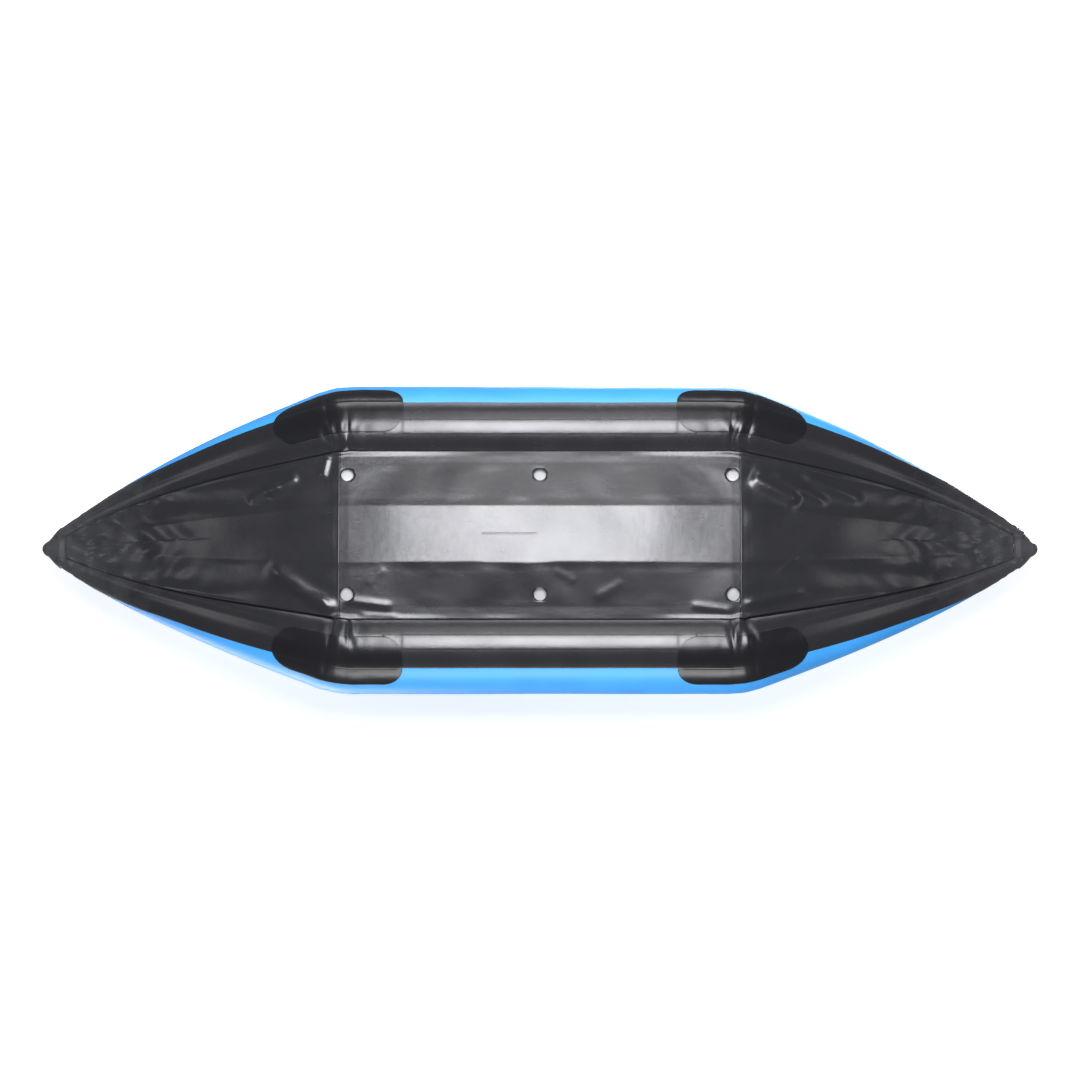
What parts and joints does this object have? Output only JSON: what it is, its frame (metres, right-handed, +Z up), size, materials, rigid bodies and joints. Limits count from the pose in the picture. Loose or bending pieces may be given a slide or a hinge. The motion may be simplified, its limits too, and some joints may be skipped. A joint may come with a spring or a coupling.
{
  "type": "inflatable kayak",
  "caption": "Double-ended self-bailing inflatable kayak with two side tubes, an inflatable floor mattress, seat with folding backrest, footrest, valves and carrying handles.",
  "frame": {"origin": "on the ground under the middle of the flat keel face, which is the bottom centre of the box", "axes": "+X to the bow along the hull, +Y to port, +Z up"},
  "size_m": [3.0998, 0.9494, 0.5081],
  "materials": {
    "blue_fabric": "semi-gloss coated fabric",
    "black_fabric": "satin coated fabric",
    "mattress_fabric": "satin coated fabric",
    "seat_fabric": "satin coated fabric",
    "webbing": "woven",
    "black_rubber": "satin",
    "black_plastic": "matt",
    "poppet_plastic": "gloss",
    "steel": "polished"
  },
  "bodies": {
    "hull": {"bow_skin": "black_fabric", "bow_tip_cap": "black_rubber", "floor_mattress": "mattress_fabric", "floor_skin": "black_fabric", "floor_valve_base": "black_plastic", "floor_valve_spring": "steel", "footrest": "seat_fabric", "front_straps": "webbing", "handle_anchors": "black_rubber", "mattress_webs": "mattress_fabric", "port_bow_gusset": "blue_fabric", "port_bow_patch": "black_fabric", "port_bow_tube": "blue_fabric", "port_seam_tape": "black_fabric", "port_stern_gusset": "blue_fabric", "port_stern_patch": "black_fabric", "port_stern_tube": "blue_fabric", "port_tube_middle": "blue_fabric", "port_valve_base": "black_plastic", "port_valve_spring": "steel", "port_wear_panel": "black_fabric", "rear_straps": "webbing", "ring_loops": "webbing", "ring_patches": "black_fabric", "seat_cushion": "seat_fabric", "seat_plugs": "black_plastic", "seat_rings": "steel", "starboard_bow_gusset": "blue_fabric", "starboard_bow_patch": "black_fabric", "starboard_bow_tube": "blue_fabric", "starboard_seam_tape": "black_fabric", "starboard_stern_gusset": "blue_fabric", "starboard_stern_patch": "black_fabric", "starboard_stern_tube": "blue_fabric", "starboard_tube_middle": "blue_fabric", "starboard_valve_base": "black_plastic", "starboard_valve_spring": "steel", "starboard_wear_panel": "black_fabric", "stern_skin": "black_fabric", "stern_tip_cap": "black_rubber", "valve_bosses": "black_rubber", "valve_nuts": "black_plastic"},
    "backrest": {"backrest": "seat_fabric", "backrest_plug": "black_plastic", "strap_tabs": "webbing"},
    "port_bow_ring": {"port_bow_ring": "steel"},
    "port_stern_ring": {"port_stern_ring": "steel"},
    "starboard_bow_ring": {"starboard_bow_ring": "steel"},
    "starboard_stern_ring": {"starboard_stern_ring": "steel"},
    "bow_handle": {"bow_handle_strap": "webbing", "bow_handle_grip": "black_rubber"},
    "stern_handle": {"stern_handle_strap": "webbing", "stern_handle_grip": "black_rubber"},
    "port_valve_cap": {"port_valve_cap": "black_plastic"},
    "port_valve_poppet": {"port_valve_poppet": "poppet_plastic"},
    "starboard_valve_cap": {"starboard_valve_cap": "black_plastic"},
    "starboard_valve_poppet": {"starboard_valve_poppet": "poppet_plastic"},
    "floor_valve_cap": {"floor_valve_cap": "black_plastic"},
    "floor_valve_poppet": {"floor_valve_poppet": "poppet_plastic"}
  },
  "joints": [
    {"name": "backrest_fold", "type": "hinge", "parent": "hull", "child": "backrest", "pos_m": [-0.296, 0, 0.2045], "axis": [0, 1, 0], "range_deg": [-15, 100], "deforming": ["front_straps", "rear_straps"]},
    {"name": "port_bow_ring_flip", "type": "hinge", "parent": "hull", "child": "port_bow_ring", "pos_m": [0.4, 0.335, 0.2999], "axis": [1, 0, 0], "range_deg": [-185, 1]},
    {"name": "port_stern_ring_flip", "type": "hinge", "parent": "hull", "child": "port_stern_ring", "pos_m": [-0.4, 0.335, 0.2999], "axis": [1, 0, 0], "range_deg": [-185, 1]},
    {"name": "starboard_bow_ring_flip", "type": "hinge", "parent": "hull", "child": "starboard_bow_ring", "pos_m": [0.4, -0.335, 0.2999], "axis": [1, 0, 0], "range_deg": [-1, 185]},
    {"name": "starboard_stern_ring_flip", "type": "hinge", "parent": "hull", "child": "starboard_stern_ring", "pos_m": [-0.4, -0.335, 0.2999], "axis": [1, 0, 0], "range_deg": [-1, 185]},
    {"name": "bow_handle_lift", "type": "hinge", "parent": "hull", "child": "bow_handle", "pos_m": [1.41, 0, 0.37702], "axis": [0, 1, 0], "range_deg": [-1, 160]},
    {"name": "stern_handle_lift", "type": "hinge", "parent": "hull", "child": "stern_handle", "pos_m": [-1.41, 0, 0.37702], "axis": [0, 1, 0], "range_deg": [-160, 1]},
    {"name": "port_cap_flip", "type": "hinge", "parent": "hull", "child": "port_valve_cap", "pos_m": [-0.489, 0.23871, 0.26875], "axis": [0, 0.766, 0.6428], "range_deg": [0, 150]},
    {"name": "port_poppet_press", "type": "slide", "parent": "hull", "child": "port_valve_poppet", "axis": [0, 0.6428, -0.766], "range_m": [0, 0.004], "stiffness_N_per_m": 600, "springref_m": -0.002, "deforming": ["port_valve_spring"]},
    {"name": "starboard_cap_flip", "type": "hinge", "parent": "hull", "child": "starboard_valve_cap", "pos_m": [-0.489, -0.23871, 0.26875], "axis": [0, -0.766, 0.6428], "range_deg": [-150, 0]},
    {"name": "starboard_poppet_press", "type": "slide", "parent": "hull", "child": "starboard_valve_poppet", "axis": [0, -0.6428, -0.766], "range_m": [0, 0.004], "stiffness_N_per_m": 600, "springref_m": -0.002, "deforming": ["starboard_valve_spring"]},
    {"name": "floor_cap_flip", "type": "hinge", "parent": "hull", "child": "floor_valve_cap", "pos_m": [-0.7658, 0, 0.13204], "axis": [0, 1, 0], "range_deg": [0, 150]},
    {"name": "floor_poppet_press", "type": "slide", "parent": "hull", "child": "floor_valve_poppet", "axis": [-0.2223, 0, -0.975], "range_m": [0, 0.004], "stiffness_N_per_m": 600, "springref_m": -0.002, "deforming": ["floor_valve_spring"]}
  ]
}
